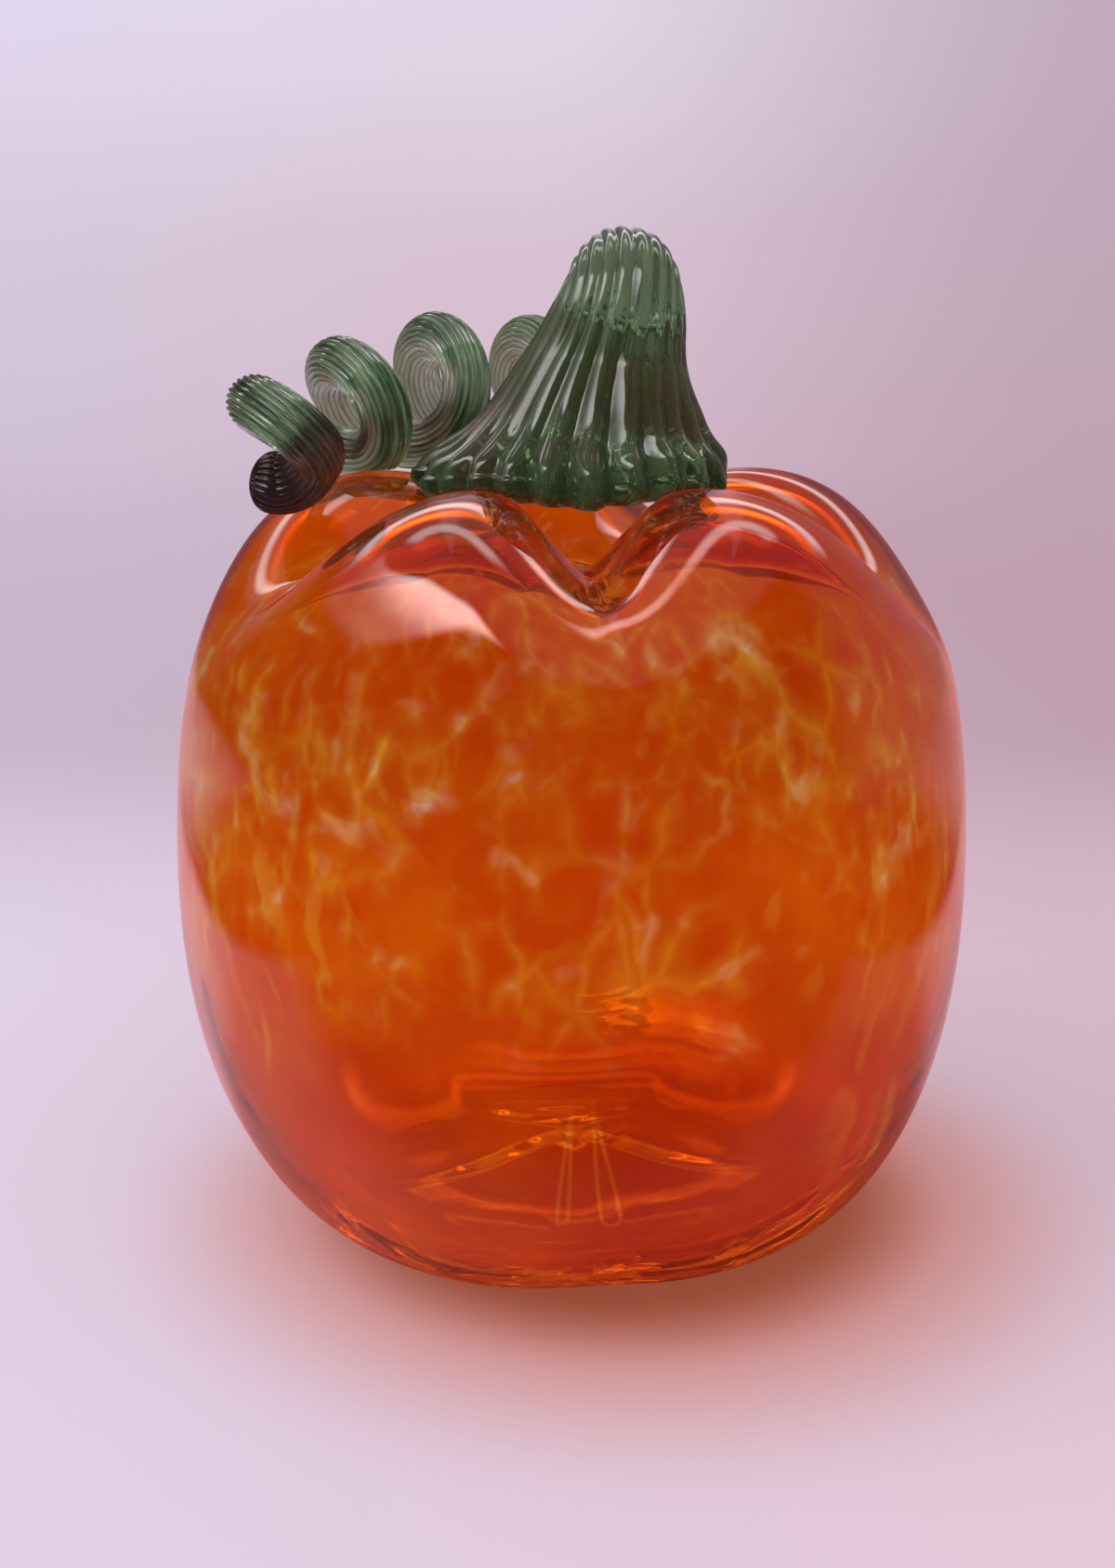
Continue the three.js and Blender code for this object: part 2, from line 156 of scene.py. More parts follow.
def body_points(angle, azimuth, inset):
    """Points on the body, lying inwards of its outer face by inset. The arguments broadcast."""
    radius, height = section_point(angle)
    nr, nz = section_normal(angle)
    inwards = inset + groove_depth(radius, height) * groove_at(azimuth)
    r = np.maximum(radius - nr * inwards, 0)
    z = height - nz * inwards
    return np.stack([r * np.sin(azimuth), -r * np.cos(azimuth), z + 0 * azimuth], -1)


def spread_angles(start, end, count):
    """Angles at even distances along the section."""
    angles = np.linspace(start, end, SECTION_SAMPLES)
    r, z = section_point(angles)
    lengths = np.concatenate([[0], np.cumsum(np.hypot(np.diff(r), np.diff(z)))])
    return np.interp(np.linspace(0, lengths[-1], count), lengths, angles)


def crown_height(radius):
    """Height of the crown on the middle of a lobe."""
    return section_point(crown_angle(radius))[1]


# Height of the grooved crown over the plane, for whatever rests on it
GRID_AZIMUTHS = 720
GRID_START = 4
GRID_END = 88
GRID_STEP = 0.5
GRID_RADII = np.arange(GRID_START, GRID_END, GRID_STEP)
GRID_SAMPLES = 1500
grid_angles = np.linspace(crown_angle(89), crown_angle(1), GRID_SAMPLES)
crown_grid = np.zeros((GRID_AZIMUTHS, len(GRID_RADII)))
for column in range(GRID_AZIMUTHS):
    points = body_points(grid_angles, np.full(len(grid_angles), column / GRID_AZIMUTHS * TURN), 0)
    reach = np.hypot(points[:, 0], points[:, 1])
    order = np.argsort(reach)
    crown_grid[column] = np.interp(GRID_RADII, reach[order], points[order, 2])


def surface_height(x, y):
    """Height of the grooved crown at a place, read from the grid."""
    reach = np.clip((np.hypot(x, y) - GRID_START) / GRID_STEP, 0, len(GRID_RADII) - 1.001)
    around = (np.arctan2(x, -y) / TURN % 1) * GRID_AZIMUTHS
    i, j = around.astype(int) % GRID_AZIMUTHS, reach.astype(int)
    s, t = around % 1, reach % 1
    k = (i + 1) % GRID_AZIMUTHS
    near = mix(crown_grid[i, j], crown_grid[i, j + 1], t)
    return mix(near, mix(crown_grid[k, j], crown_grid[k, j + 1], t), s)


def lay_on_crown(points, gap):
    """Lifts what would sink into the crown, so that it lies on it."""
    floor = surface_height(points[..., 0], points[..., 1]) + gap
    near = np.hypot(points[..., 0], points[..., 1]) < GRID_RADII[-1]
    points[..., 2] = np.where(near, np.maximum(points[..., 2], floor), points[..., 2])
    return points


def lofted(name, start, rings, end, materials, split=None, marks=None):
    """A closed mesh over rings of points, with a point at each end. Rings from split on take the
    second material. Marks are values at the rings' points, by name, for the materials."""
    rings = np.asarray(rings)
    rows, count = rings.shape[:2]
    points = np.vstack([[start], rings.reshape(-1, 3), [end]]) * MM
    last = len(points) - 1
    faces, slots = [], []
    for i in range(count):
        j = (i + 1) % count
        faces.append((0, 1 + j, 1 + i))
        slots.append(0)
        faces.append((last, 1 + (rows - 1) * count + i, 1 + (rows - 1) * count + j))
        slots.append(0 if split is None else 1)
        for row in range(rows - 1):
            a, b = 1 + row * count, 1 + (row + 1) * count
            faces.append((a + i, a + j, b + j, b + i))
            slots.append(0 if split is None or row < split else 1)
    mesh = bpy.data.meshes.new(name)
    mesh.from_pydata(points.tolist(), [], faces)
    for material in materials:
        mesh.materials.append(material)
    mesh.polygons.foreach_set("material_index", slots)
    mesh.polygons.foreach_set("use_smooth", [True] * len(faces))
    for mark, values in (marks or {}).items():
        values = np.asarray(values, float).reshape(rows * count, -1)
        full = np.vstack([values[:1], values, values[-1:]])
        kind, field = ("FLOAT", "value") if full.shape[1] == 1 else ("FLOAT_VECTOR", "vector")
        mesh.attributes.new(mark, kind, "POINT").data.foreach_set(field, full.ravel())
    mesh.update()
    piece = bpy.data.objects.new(name, mesh)
    bpy.context.collection.objects.link(piece)
    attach(piece, "root")
    return piece


class Nodes:
    """Short calls for building a node tree."""

    def __init__(self, tree):
        self.tree = tree
        tree.nodes.clear()

    def add(self, kind, inputs=None, **settings):
        """A new node, with values or links put into its inputs."""
        node = self.tree.nodes.new(kind)
        for key, value in settings.items():
            setattr(node, key, value)
        for key, value in (inputs or {}).items():
            self.put(node.inputs[key], value)
        return node

    def put(self, socket, value):
        """Links the socket if the value is another socket, or else sets it."""
        if isinstance(value, bpy.types.NodeSocket):
            self.tree.links.new(value, socket)
        elif value is not None:
            socket.default_value = value

    def math(self, operation, a, b=None, c=None, clamp=False):
        node = self.tree.nodes.new("ShaderNodeMath")
        node.operation = operation
        node.use_clamp = clamp
        for socket, value in zip(node.inputs, (a, b, c)):
            self.put(socket, value)
        return node.outputs[0]

    def range(self, value, low, high, to_low=0.0, to_high=1.0, smooth_ends=True):
        """The value, taken from low..high to to_low..to_high and held at the ends."""
        node = self.add("ShaderNodeMapRange", {
            "Value": value, "From Min": low, "From Max": high, "To Min": to_low, "To Max": to_high,
        })
        node.interpolation_type = "SMOOTHSTEP" if smooth_ends else "LINEAR"
        return node.outputs["Result"]

    def blend(self, factor, a, b, kind="MIX"):
        """Colour a where the factor is 0 and b where it is 1, or their sum with ADD."""
        node = self.tree.nodes.new("ShaderNodeMix")
        node.data_type = "RGBA"
        node.blend_type = kind
        self.put(node.inputs[0], factor)
        self.put(node.inputs[6], a)
        self.put(node.inputs[7], b)
        return node.outputs[2]

    def noise(self, vector, scale, detail=2.0, rough=0.5):
        """A noise of about 0.5 all over."""
        node = self.add("ShaderNodeTexNoise", {
            "Vector": vector, "Scale": scale, "Detail": detail, "Roughness": rough,
        })
        return node.outputs["Fac"]

    def mark(self, name, output="Fac"):
        """A value that the mesh holds at its points."""
        return self.add("ShaderNodeAttribute", attribute_name=name).outputs[output]


def rgb(hexadecimal):
    """A colour as written on a screen, made linear."""
    values = [int(hexadecimal[i:i + 2], 16) / 255 for i in (0, 2, 4)]
    return [v / 12.92 if v <= 0.04045 else ((v + 0.055) / 1.055) ** 2.4 for v in values] + [1]


def glass(name, roughness, clear=1.0, ior=1.5):
    """Glass that lets clear of the light straight through and scatters the rest."""
    material = bpy.data.materials.new(name)
    material.use_nodes = True
    n = Nodes(material.node_tree)
    shader = n.add("ShaderNodeBsdfPrincipled", {
        "Transmission Weight": clear, "Roughness": roughness, "IOR": ior,
    })
    n.add("ShaderNodeOutputMaterial", {"Surface": shader.outputs[0]})
    return material, n, shader


def scaled(n, vector, amount):
    """The vector minus its middle, times amount."""
    centred = n.add("ShaderNodeVectorMath", {0: vector, 1: (0.5, 0.5, 0.5)}, operation="SUBTRACT")
    grown = n.add("ShaderNodeVectorMath", {0: centred.outputs[0], "Scale": amount}, operation="SCALE")
    return grown.outputs[0]


def bent_place(n, place, scale, amount, detail=2.0):
    """The place, moved about by a noise, so that a pattern on it flows."""
    noise = n.add("ShaderNodeTexNoise", {"Vector": place, "Scale": scale, "Detail": detail})
    moved = scaled(n, noise.outputs["Color"], amount)
    return n.add("ShaderNodeVectorMath", {0: place, 1: moved}, operation="ADD").outputs[0]


# Painted highlights shaped like drops low on the front: x at the top, x at the foot and half the
# width, in metres
PAINTED_DROP_HIGHLIGHTS = [(-0.0004, -0.0025, 0.0011), (0.0024, 0.0072, 0.0019)]
DROP_TOP = 0.066
DROP_FOOT = 0.0335
DROP_LINE = 0.0002
DROP_LINE_EDGE = 0.0006


def painted_drop_highlight(n, xyz, top_x, foot_x, half_width):
    """Where the painted highlight runs down the front along the outline of a drop, from a point to a
    round foot.
    """
    down = n.range(xyz["Z"], DROP_FOOT, DROP_TOP, 1.0, 0.0, smooth_ends=False)
    middle = n.math("MULTIPLY_ADD", down, foot_x - top_x, top_x)
    aside = n.math("SUBTRACT", xyz["X"], middle)
    below = n.math("SUBTRACT", DROP_FOOT, xyz["Z"], clamp=True)
    squares = n.math("MULTIPLY_ADD", aside, aside, n.math("MULTIPLY", below, below))
    wide = n.range(down, 0.0, 1.0, 0.0, half_width)
    off = n.math("ABSOLUTE", n.math("SUBTRACT", n.math("SQRT", squares), wide))
    line = n.range(off, DROP_LINE, DROP_LINE_EDGE, 1.0, 0.0)
    # Fainter towards its top, and only on the front half
    line = n.math("MULTIPLY", line, n.range(down, 0.02, 0.5))
    return n.math("MULTIPLY", line, n.range(xyz["Y"], -0.01, 0.0, 1.0, 0.0))


def drawn_up(n, place, rate):
    """The place with its height shortened, so that a pattern on it is drawn out upwards."""
    return n.add("ShaderNodeVectorMath", {0: place, 1: (1, 1, rate)}, operation="MULTIPLY").outputs[0]


def waist_amber(n, place, flow, height):
    """Round the waist: where the glass glows amber, and the veins between the grains of colour."""
    waist = n.math("MULTIPLY", n.range(height, 0.066, 0.088), n.range(height, 0.138, 0.158, 1.0, 0.0))
    where = n.math("MULTIPLY", n.range(n.noise(place, 20.0, 2.0, 0.6), 0.32, 0.52), waist)
    glow = n.math("MULTIPLY", where, n.range(n.noise(flow, 34.0, 2.0), 0.45, 0.7))
    grains = {"Vector": drawn_up(n, flow, 0.6), "Scale": 105.0}
    cells = n.add("ShaderNodeTexVoronoi", grains, feature="DISTANCE_TO_EDGE")
    edge = cells.outputs["Distance"]
    core = n.range(edge, 0.0, 0.12, 1.0, 0.0)
    vein = n.math("MULTIPLY_ADD", core, 0.5, n.range(edge, 0.0, 0.36, 0.5, 0.0))
    patchy = n.range(n.noise(flow, 60.0, 2.0, 0.6), 0.38, 0.62)
    return glow, n.math("MULTIPLY", n.math("MULTIPLY", vein, where), patchy)


def side_streaks(n, flow, across, height):
    """Where the streaks low on the sides run."""
    low = n.math("MULTIPLY", n.range(height, 0.022, 0.04), n.range(height, 0.066, 0.082, 1.0, 0.0))
    out = n.range(n.math("ABSOLUTE", across), 0.045, 0.065)
    streaks = n.range(n.noise(drawn_up(n, flow, 0.25), 95.0, 1.0), 0.58, 0.68)
    return n.math("MULTIPLY", streaks, n.math("MULTIPLY", low, out))


def orange_glass():
    material, n, shader = glass("orange_glass", roughness=0.0, clear=0.96)
    place = n.add("ShaderNodeTexCoord").outputs["Object"]
    flow = bent_place(n, bent_place(n, place, 20.0, 0.014), 80.0, 0.007)
    flow_xyz = n.add("ShaderNodeSeparateXYZ", {0: flow}).outputs
    # Gathered colour: orange, with large patches of red-orange
    cloud = n.range(n.noise(flow, 42.0, 3.0, 0.55), 0.4, 0.64)
    red = n.range(n.noise(flow, 15.0, 2.0, 0.5), 0.44, 0.62)
    colour = n.blend(cloud, rgb("ec6a04"), rgb("e25002"))
    colour = n.blend(n.math("MULTIPLY", red, 0.8), colour, rgb("d64202"))
    glow, veins = waist_amber(n, place, flow, flow_xyz["Z"])
    colour = n.blend(n.math("MULTIPLY", glow, 0.4), colour, rgb("ee8c10"))
    colour = n.blend(veins, colour, rgb("fbc83a"))
    # Small bare spots on the veins
    spots = n.math("MULTIPLY", n.range(n.noise(flow, 120.0, 1.0), 0.6, 0.7), veins)
    colour = n.blend(spots, colour, rgb("fdf2dc"))
    streaks = side_streaks(n, flow, flow_xyz["X"], flow_xyz["Z"])
    colour = n.blend(n.math("MULTIPLY", streaks, 0.8), colour, rgb("f8c050"))
    xyz = n.add("ShaderNodeSeparateXYZ", {0: place}).outputs
    # Painted highlights: bright orange outlines of two drops low on the front
    for top_x, foot_x, half_width in PAINTED_DROP_HIGHLIGHTS:
        colour = n.blend(painted_drop_highlight(n, xyz, top_x, foot_x, half_width), colour, rgb("ff9c2a"))
    n.put(shader.inputs["Base Color"], colour)
    # The colour grains near the surface scatter some light towards the outline
    n.put(shader.inputs["Sheen Weight"], 0.5)
    n.put(shader.inputs["Sheen Roughness"], 0.3)
    n.put(shader.inputs["Sheen Tint"], rgb("ff5c30"))
    return material


def clear_glass():
    material, n, shader = glass("clear_glass", roughness=0.0)
    n.put(shader.inputs["Base Color"], (1, 1, 1, 1))
    return material


def stem_glass():
    material, n, shader = glass("stem_glass", roughness=0.02, clear=0.76, ior=1.4)
    place = n.add("ShaderNodeTexCoord").outputs["Object"]
    rib = n.mark("rib")
    share = n.mark("along")
    flow = bent_place(n, place, 60.0, 0.012)
    # Smoky green, paler and milkier towards the tip
    green = n.blend(n.noise(flow, 80.0, 2.0), rgb("4a5d3e"), rgb("6a855c"))
    green = n.blend(n.range(share, 0.4, 0.85, 0.0, 0.55), green, rgb("8fae8c"))
    pale = n.math("MULTIPLY", n.range(share, 0.3, 0.75), n.range(n.noise(flow, 110.0, 2.0), 0.5, 0.68))
    green = n.blend(n.math("MULTIPLY", pale, 0.4), green, rgb("a9b07c"))
    # Brown patches low on the stem, most on its left
    low = n.range(share, 0.08, 0.42, 1.0, 0.0)
    across = n.add("ShaderNodeSeparateXYZ", {0: place}).outputs["X"]
    low = n.math("MULTIPLY", low, n.range(across, -0.02, 0.025, 1.0, 0.45))
    brown = n.math("MULTIPLY", n.range(n.noise(flow, 62.0, 2.0), 0.4, 0.58), low)
    colour = n.blend(n.math("MULTIPLY", brown, 0.6), green, rgb("6a4a40"))
    # Painted shade between the ribs, and a green rim round the foot
    groove = n.range(rib, 0.0, 0.5, 1.0, 0.0)
    colour = n.blend(n.math("MULTIPLY", groove, 0.3), colour, rgb("2c4630"))
    edge = n.range(share, 0.0, 0.03, 1.0, 0.0)
    colour = n.blend(n.math("MULTIPLY", edge, 0.5), colour, rgb("3a5626"))
    n.put(shader.inputs["Base Color"], colour)
    return material


# Parts of each turn of the vine, round which its far side, paler with painted light, and its brown lie
FAR_MIDDLE = 0.5
BROWN_MIDDLE = 0.82


def turn_part(n, turn, middle, low, high):
    """The part of each turn round its middle, between two values of the cosine."""
    from_middle = n.math("MULTIPLY", n.math("SUBTRACT", turn, middle), TURN)
    return n.range(n.math("COSINE", from_middle), low, high)


def vine_brown(n, streak, turn, inside):
    """Where purple-brown lies: inside the first turns, low on their right, and at the lump."""
    patch = n.range(n.noise(streak, 1.6, 2.0), 0.45, 0.58)
    first = n.range(turn, 1.8, 3.0, 1.0, 0.0)
    held = n.math("MULTIPLY", n.math("MULTIPLY", patch, n.range(inside, -0.5, 0.2)),
                  n.math("MULTIPLY", first, turn_part(n, turn, BROWN_MIDDLE, 0.1, 0.8)))
    lump = n.range(turn, -0.1, 0.12, 1.0, 0.0)
    return n.math("MAXIMUM", n.math("MULTIPLY", held, 0.9), n.math("MULTIPLY", lump, 0.75))


def vine_glass():
    material, n, shader = glass("vine_glass", roughness=0.02, clear=0.8)
    rib = n.mark("rib")
    turn = n.mark("along")
    inside = n.mark("inside")
    streak = n.mark("streak", "Vector")
    # Green outside the turns; paler on their far side and sage inside them, as painted light
    streaks = n.range(n.noise(streak, 4.0, 2.0), 0.38, 0.62)
    outer = n.blend(streaks, rgb("345f38"), rgb("9dbc8c"))
    inner = n.blend(streaks, rgb("b4bc9e"), rgb("eceedd"))
    far = n.math("MULTIPLY", turn_part(n, turn, FAR_MIDDLE, 0.0, 0.9), n.range(turn, 0.9, 1.3))
    outer = n.blend(n.math("MULTIPLY", far, 0.8), outer, rgb("bccaa8"))
    colour = n.blend(n.range(inside, -0.5, 0.6), outer, inner)
    colour = n.blend(vine_brown(n, streak, turn, inside), colour, rgb("5d3f40"))
    swollen = n.range(turn, -0.3, -0.2, 1.0, 0.0)
    colour = n.blend(swollen, colour, rgb("40262c"))
    # Painted shade in the grooves between the ribs
    groove = n.range(rib, 0.0, 0.6, 1.0, 0.0)
    colour = n.blend(n.math("MULTIPLY", groove, 0.75), colour, rgb("2f4d33"))
    n.put(shader.inputs["Base Color"], colour)
    return material


orange = orange_glass()
clear = clear_glass()
green = stem_glass()
sage = vine_glass()


def make_body():
    """The blown shell: up its outer face, over the neck and down its inner face."""
    columns = FIRST_GROOVE + np.arange(BODY_COLUMNS) / BODY_COLUMNS * TURN
    ends = base_angle(POLE_RADIUS), crown_angle(NECK_RADIUS)
    outer_angles = spread_angles(*ends, OUTER_ROWS)
    inner_angles = spread_angles(*ends, INNER_ROWS)[::-1]
    outer = body_points(outer_angles[:, None], columns[None, :], 0)
    outer[..., 2] = np.maximum(outer[..., 2], 0)
    wall = mix(WALL, BASE_WALL, smooth(-inner_angles, 0, math.pi / 2))
    inner = body_points(inner_angles[:, None], columns[None, :], wall[:, None])
    pole = np.array(-math.pi / 2)
    bottom = body_points(pole, np.array(0.0), 0)
    hollow_bottom = body_points(pole, np.array(0.0), BASE_WALL)
    return lofted("body_glass", bottom, np.concatenate([outer, inner]), hollow_bottom,
                  [orange, clear], split=len(outer))


body = make_body()
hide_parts("body")

# Stem
STEM_RIBS = 22
STEM_FOOT_RADIUS = 35.4
STEM_FOOT_ROUND = 3
STEM_TOE_SWELL = 2.1
STEM_TOE_MIDDLE = 4.8
STEM_TOE_SPREAD = 3.4
STEM_LUMPS_IN = 0.012
# Waves round the stem: size, count round it, change along it and phase. The first list moves the
# ribs sideways, the second changes the depth of the grooves and the third gives low lumps.
STEM_SWAYS = [(1.1, 2, 0, 1.0), (0.8, 3, 0, 4.0), (0.5, 5, 0, 2.0), (0.7, 2, 5, 0.0)]
STEM_DEPTH_WAVES = [(0.3, 4, 2, 0.7)]
STEM_LUMPS = [(0.012, 3, 9, 1.0), (0.01, 5, -14, 2.5), (0.008, 7, 23, 0.0)]
STEM_SETTLE = 0.9
STEM_FOOT_SAG = 2
STEM_SAG_END = 0.35
STEM_FLARE = 45
STEM_FLARE_POWER = 1.85
STEM_NECK_RADIUS = 13.2
STEM_TIP_RADIUS = 9.5
STEM_TAPER_START = 0.5
STEM_TIP_BLUNTNESS = 0.7
STEM_HEIGHT = 41
STEM_LEAN = 10.9
STEM_HOOK = 28
STEM_RIB_DEPTH = 0.06
STEM_FOOT_RIB_DEPTH = 0.14
STEM_FOOT_RIB_END = 0.25
STEM_RIB_SOFTNESS = 0.12
STEM_RIB_TWIST = 0.35
STEM_UNDERSIDE_DROP = 3.5
STEM_LEVEL_END = 0.2
STEM_SQUARE_START = 0.6
STEM_BEND = [
    (0, 0, 0), (0.08, 0, 0.12), (0.35, 0, 0.34), (0.66, 0, 0.58), (0.92, 0, 0.8),
    (1, 0.11, 0.94), (0.96, 0.43, 1), (0.84, 0.75, 0.96), (0.7, 1, 0.85),
]
FUSE_GAP = 0.3
STEM_COLUMNS = STEM_RIBS * 12
STEM_LINE_POINTS = 1001
SPAN_POINTS = 60
UNDERSIDE_OUT = np.linspace(0.08, 0.92, 14)
TOE_BENDS = np.radians(np.linspace(-75, 30, 10))
SHAFT_START = 0.6
SHAFT_ROWS = 130
CAP_BENDS = np.radians(np.linspace(8, 82, 12))

foot_height = crown_height(STEM_FOOT_RADIUS - STEM_FOOT_ROUND) + STEM_FOOT_ROUND - STEM_SETTLE


def through(knots, count):
    """Evenly spaced points on a centripetal Catmull-Rom curve through the knots."""
    knots = np.asarray(knots, float)
    ends = [2 * knots[0] - knots[1]], [2 * knots[-1] - knots[-2]]
    p = np.vstack([ends[0], knots, ends[1]])
    fine = []
    for i in range(1, len(p) - 2):
        gaps = [math.sqrt(np.linalg.norm(p[i + k] - p[i + k - 1])) for k in (0, 1, 2)]
        t = np.linspace(0, 1, SPAN_POINTS, endpoint=i == len(p) - 3)[:, None]
        m1 = (p[i] - p[i - 1]) / gaps[0] - (p[i + 1] - p[i - 1]) / (gaps[0] + gaps[1])
        m1 = (m1 + (p[i + 1] - p[i]) / gaps[1]) * gaps[1]
        m2 = (p[i + 1] - p[i]) / gaps[1] - (p[i + 2] - p[i]) / (gaps[1] + gaps[2])
        m2 = (m2 + (p[i + 2] - p[i + 1]) / gaps[2]) * gaps[1]
        a, b = p[i], p[i + 1]
        fine.append(a + m1 * t + (-3 * a + 3 * b - 2 * m1 - m2) * t ** 2
                    + (2 * a - 2 * b + m1 + m2) * t ** 3)
    fine = np.vstack(fine)
    steps = np.linalg.norm(np.diff(fine, axis=0), axis=1)
    lengths = np.concatenate([[0], np.cumsum(steps)])
    wanted = np.linspace(0, lengths[-1], count)
    return np.stack([np.interp(wanted, lengths, fine[:, k]) for k in range(3)], 1), lengths[-1]


def unit(v):
    return v / np.linalg.norm(v)


def waves(turn, share, terms):
    """The sum of waves at an angle round the stem and a share of its length."""
    return sum(size * np.sin(count * turn + change * share + phase)
               for size, count, change, phase in terms)


def stem_phase(turn, share):
    """Where a point is among the ribs, which are uneven in width."""
    return STEM_RIBS * (turn + STEM_RIB_TWIST * share) + waves(turn, share, STEM_SWAYS)


def make_stem():
    """A loft: out under the foot, round its toe, up the bent shaft and over the tip."""
    knots = [(STEM_LEAN * a, STEM_HOOK * b, foot_height + STEM_HEIGHT * c) for a, b, c in STEM_BEND]
    line, length = through(knots, STEM_LINE_POINTS)
    tangents = np.gradient(line, axis=0)
    turn = np.arange(STEM_COLUMNS) / STEM_COLUMNS * TURN
    shares = []

    def ring(centre, right, back, radius, share, droop):
        shares.append(share)
        depth = mix(STEM_FOOT_RIB_DEPTH, STEM_RIB_DEPTH, smooth(share, 0, STEM_FOOT_RIB_END))
        depth = depth * (1 + waves(turn, share, STEM_DEPTH_WAVES))
        rib = ridge(stem_phase(turn, share), STEM_RIB_SOFTNESS)
        lumps = waves(turn, share, STEM_LUMPS)
        reach = (radius * (1 - STEM_LUMPS_IN + lumps - depth * (1 - rib)))[:, None]
        points = centre + reach * (np.sin(turn)[:, None] * right - np.cos(turn)[:, None] * back)
        points[:, 2] -= droop * groove_at(turn)
        return points

    right, back = np.array([1.0, 0, 0]), np.array([0, 1.0, 0])
    base = line[0]
    rings = []
    for out in UNDERSIDE_OUT:
        drop = STEM_FOOT_ROUND + STEM_UNDERSIDE_DROP * (1 - out ** 2)
        centre = base - [0, 0, drop]
        rings.append(ring(centre, right, back, STEM_FOOT_RADIUS * out, 0, STEM_FOOT_SAG * out ** 2))
    for bend in TOE_BENDS:
        radius = STEM_FOOT_RADIUS - STEM_FOOT_ROUND * (1 - math.cos(bend))
        centre = base + [0, 0, STEM_FOOT_ROUND * math.sin(bend)]
        rings.append(ring(centre, right, back, radius, 0, STEM_FOOT_SAG))
    for share in np.linspace(SHAFT_START * STEM_FOOT_ROUND / length, 1, SHAFT_ROWS):
        at = share * (len(line) - 1)
        i = min(int(at), len(line) - 2)
        centre = mix(line[i], line[i + 1], at - i)
        square = float(smooth(share, STEM_LEVEL_END, STEM_SQUARE_START))
        along = unit(mix(np.array([0, 0, 1.0]), unit(tangents[i]), square))
        right = unit(np.cross(back, along))
        back = np.cross(along, right)
        flare = max(1 - share * length / STEM_FLARE, 0) ** STEM_FLARE_POWER
        shaft = mix(STEM_NECK_RADIUS, STEM_TIP_RADIUS, float(smooth(share, STEM_TAPER_START, 1)))
        toe = math.exp(-((share * length - STEM_TOE_MIDDLE) / STEM_TOE_SPREAD) ** 2)
        radius = shaft + (STEM_FOOT_RADIUS - shaft) * flare + STEM_TOE_SWELL * toe
        droop = STEM_FOOT_SAG * (1 - float(smooth(share, 0, STEM_SAG_END)))
        rings.append(ring(centre, right, back, radius, share, droop))
    tip_length = STEM_TIP_RADIUS * STEM_TIP_BLUNTNESS
    along = unit(tangents[-1])
    for bend in CAP_BENDS:
        centre = line[-1] + along * tip_length * math.sin(bend)
        rings.append(ring(centre, right, back, STEM_TIP_RADIUS * math.cos(bend), 1, 0))
    start = base - [0, 0, STEM_FOOT_ROUND + STEM_UNDERSIDE_DROP]
    shares = np.array(shares)[:, None] + 0 * turn
    marks = {"along": shares, "rib": ridge(stem_phase(turn, shares), STEM_RIB_SOFTNESS)}
    return lofted("stem_solid_glass", start, lay_on_crown(np.array(rings), FUSE_GAP),
                  line[-1] + along * tip_length, [green], marks=marks)


stem = make_stem()
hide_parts("stem")

# Vine
VINE_START_RADIUS = 6.2
VINE_END_RADIUS = 5.2
VINE_LUMP_RADIUS = 6.8
VINE_LUMP_DROP = 6.8
VINE_LUMP_TURNS = 0.22
VINE_END_BLUNTNESS = 0.75
VINE_RIBS = 26
VINE_RIB_DEPTH = 0.1
VINE_RIB_SOFTNESS = 0.2
VINE_RIB_TWIST = 4
FIRST_TURN = -0.38
LAST_TURN = 4.1
CURL_START_RADIUS = 11.4
CURL_END_RADIUS = 12.7
CURL_PITCH = 25
CURL_RUN_HEADING = math.radians(47)
CURL_RUN_START = -50
CURL_BOW = 17
CURL_MIDDLE_TURN = 1.75
CURL_FACING_START = math.radians(-60)
CURL_FACING_END = math.radians(-30)
CURL_TILT_START = math.radians(53)
CURL_TILT_END = math.radians(8)
CURL_SETTLE = 1.3
CURL_LIFT = 6.9
CURL_LIFT_END = 0.42
CURL_CHANGE_START = 0.25
CURL_FACING_TURNS = 1
CURL_TILT_TURNS = 2.25
VINE_TO_STEM = 0.5
CURL_SAMPLES = 8001
VINE_ROWS = 620
VINE_COLUMNS = VINE_RIBS * 6
STREAK_STRETCH = 0.02


def cane_radius(turn):
    """Radius of the cane, which is swollen at its start."""
    cane = mix(VINE_START_RADIUS, VINE_END_RADIUS, (turn - FIRST_TURN) / (LAST_TURN - FIRST_TURN))
    lump = 1 - smooth(turn, FIRST_TURN, FIRST_TURN + VINE_LUMP_TURNS)
    return cane + (VINE_LUMP_RADIUS - VINE_START_RADIUS) * lump


